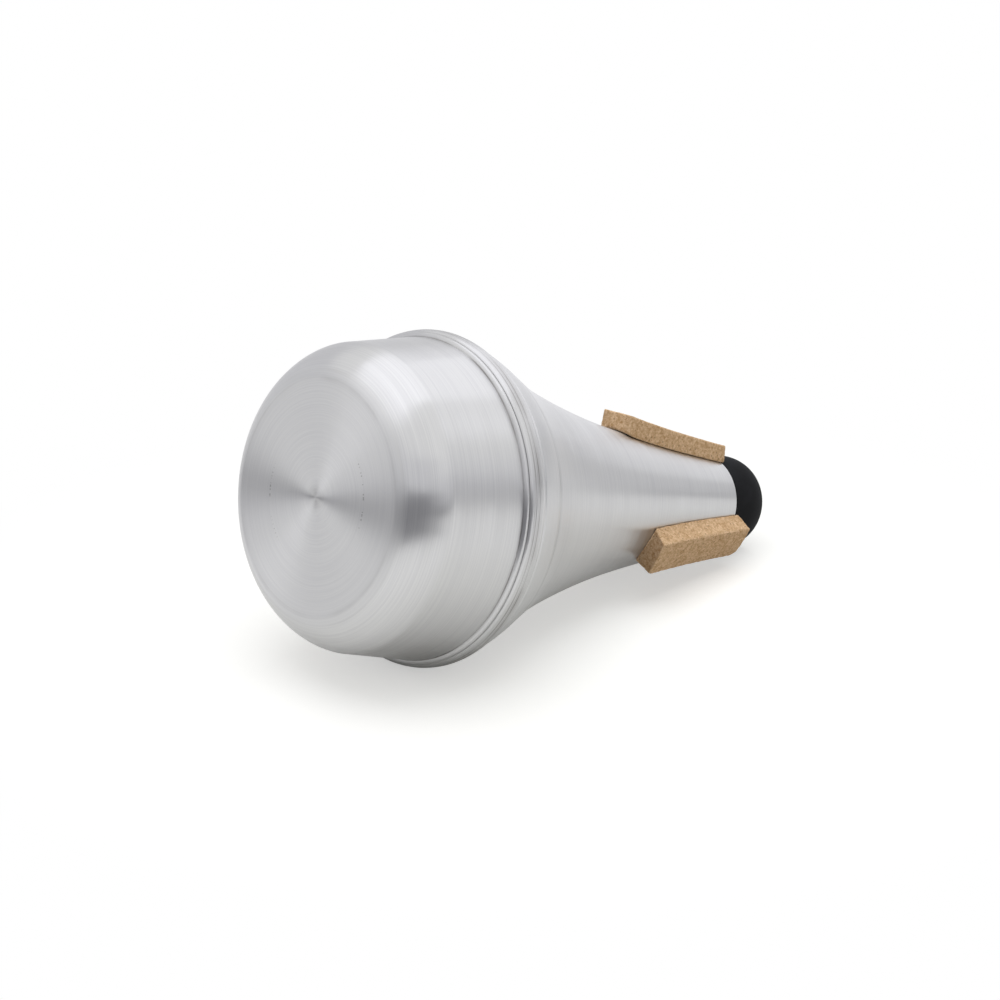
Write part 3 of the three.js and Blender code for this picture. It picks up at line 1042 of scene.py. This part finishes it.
def band(radius, low, high, start=0, stop=360, steps=96):
    """Vertices, edges and faces of an upright band around the stage, between two headings in degrees."""
    turns = [math.radians(start + (stop - start) * i / steps) for i in range(steps + 1)]
    ring = [(math.cos(turn) * radius, math.sin(turn) * radius) for turn in turns]
    vertices = [(x, y, z) for z in (low, high) for x, y in ring]
    faces = [(i, i + 1, i + steps + 2, i + steps + 1) for i in range(steps)]
    return vertices, (), faces


class MUTE_OT_stage(bpy.types.Operator):
    """Set up the floor, the soft studio light and the camera"""

    bl_idname = "mute.stage"
    bl_label = "Stage"

    def execute(self, context):
        scene = context.scene
        stage = scene.mute_stage
        scene.view_settings.view_transform = "Standard"

        sides = 96
        rim = trace(sides, lambda t: (
            math.cos(t * math.tau) * stage.floor_radius, math.sin(t * math.tau) * stage.floor_radius, 0))
        floor = new_object("floor", rim[:-1], faces=[tuple(range(sides))])
        crest_radius, crest_place = crest(scene.mute_shells)
        contact = laid((-crest_radius, 0, crest_place))
        floor.data.materials.append(
            floor_material(scene.mute_colours, stage.lift, stage.mirrored_lift, contact))

        world = bpy.data.worlds.new("Studio")
        world.use_nodes = True
        world.node_tree.nodes.clear()
        add = adder(world.node_tree)
        even = add("ShaderNodeBackground", {"Color": AMBIENT_COLOUR, "Strength": stage.ambient})[0]
        white = add("ShaderNodeBackground", {"Color": (1, 1, 1, 1), "Strength": 1.0})[0]
        both = add("ShaderNodeMixShader", {0: seen_ray(add), 1: even, 2: white})[0]
        add("ShaderNodeOutputWorld", {"Surface": both})
        scene.world = world

        light = bpy.data.lights.new("overhead_softbox", "AREA")
        light.energy = stage.key_power
        light.color = KEY_COLOUR
        light.size = KEY_SIDE
        softbox = bpy.data.objects.new("overhead_softbox", light)
        softbox.location.z = KEY_HEIGHT
        softbox.visible_glossy = False
        scene.collection.objects.link(softbox)

        front_corners = [
            FRONT_CENTRE + Vector((x * stage.overhead_length, y * stage.overhead_width, 0)) / 2
            for x, y in ((-1, -1), (-1, 1), (1, 1), (1, -1))
        ]
        front = new_object("softbox_front", front_corners, faces=[(0, 1, 2, 3)])
        front.data.materials.append(
            glowing_material("Softbox cloth", CLOTH_COLOUR, stage.overhead_glow))
        side_front = new_object("side_softbox_front", *band(*SIDE_FRONT))
        side_front.data.materials.append(
            glowing_material("Side softbox cloth", CLOTH_COLOUR, stage.side_glow))
        screens = [front, side_front]
        for tone, start, stop, height, distance in SCREENS:
            screen = new_object(f"{tone}_{start}", *band(distance, 0.0, height, start, stop))
            screen.data.materials.append(
                glowing_material(tone, (*getattr(scene.mute_colours, tone), 1)))
            screens.append(screen)
        for screen in screens:
            screen.visible_camera = False
            screen.visible_diffuse = False
            screen.visible_shadow = False

        camera = bpy.data.cameras.new("camera")
        camera.lens = FOCAL_LENGTH
        camera.sensor_width = SENSOR_WIDTH
        camera.clip_start = 0.01
        camera.clip_end = 100.0
        down = CAMERA_FORWARD.cross(CAMERA_RIGHT)
        turned = Matrix((CAMERA_RIGHT, -down, -CAMERA_FORWARD)).transposed()
        viewer = bpy.data.objects.new("camera", camera)
        scene.collection.objects.link(viewer)
        place = BASE - Matrix((CAMERA_RIGHT, down, CAMERA_FORWARD)).transposed() @ BASE_FROM_CAMERA
        viewer.matrix_world = Matrix.Translation(place) @ turned.to_4x4()
        scene.camera = viewer
        return {"FINISHED"}


class MUTE_PT_panel(bpy.types.Panel):
    """Buttons and sizes of the mute"""

    bl_idname = "MUTE_PT_panel"
    bl_label = "Straight Mute"
    bl_space_type = "VIEW_3D"
    bl_region_type = "UI"
    bl_category = "Mute"

    def draw(self, context):
        layout = self.layout
        for operator in OPERATORS:
            layout.operator(operator.bl_idname)
        for name in GROUPS:
            box = layout.box()
            group = getattr(context.scene, name)
            for prop in group.bl_rna.properties:
                if prop.identifier not in ("rna_type", "name"):
                    box.prop(group, prop.identifier)


GROUPS = {
    "mute_shells": ShellSizes,
    "mute_ring": RingSizes,
    "mute_corks": CorkSizes,
    "mute_colours": FinishColours,
    "mute_stage": StageSettings,
}
OPERATORS = (MUTE_OT_end_cap, MUTE_OT_cone_body, MUTE_OT_throat_ring, MUTE_OT_cork_strips, MUTE_OT_stage)


def register():
    for group in GROUPS.values():
        bpy.utils.register_class(group)
    for name, group in GROUPS.items():
        setattr(bpy.types.Scene, name, bpy.props.PointerProperty(type=group))
    for panel_or_operator in (*OPERATORS, MUTE_PT_panel):
        bpy.utils.register_class(panel_or_operator)


def unregister():
    for panel_or_operator in (MUTE_PT_panel, *reversed(OPERATORS)):
        bpy.utils.unregister_class(panel_or_operator)
    for name, group in reversed(GROUPS.items()):
        delattr(bpy.types.Scene, name)
        bpy.utils.unregister_class(group)


def main():
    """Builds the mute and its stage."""
    register()
    bpy.ops.mute.end_cap()
    bpy.ops.mute.cone_body()
    bpy.ops.mute.throat_ring()
    bpy.ops.mute.cork_strips()
    bpy.ops.mute.stage()


if __name__ == "__main__":
    main()
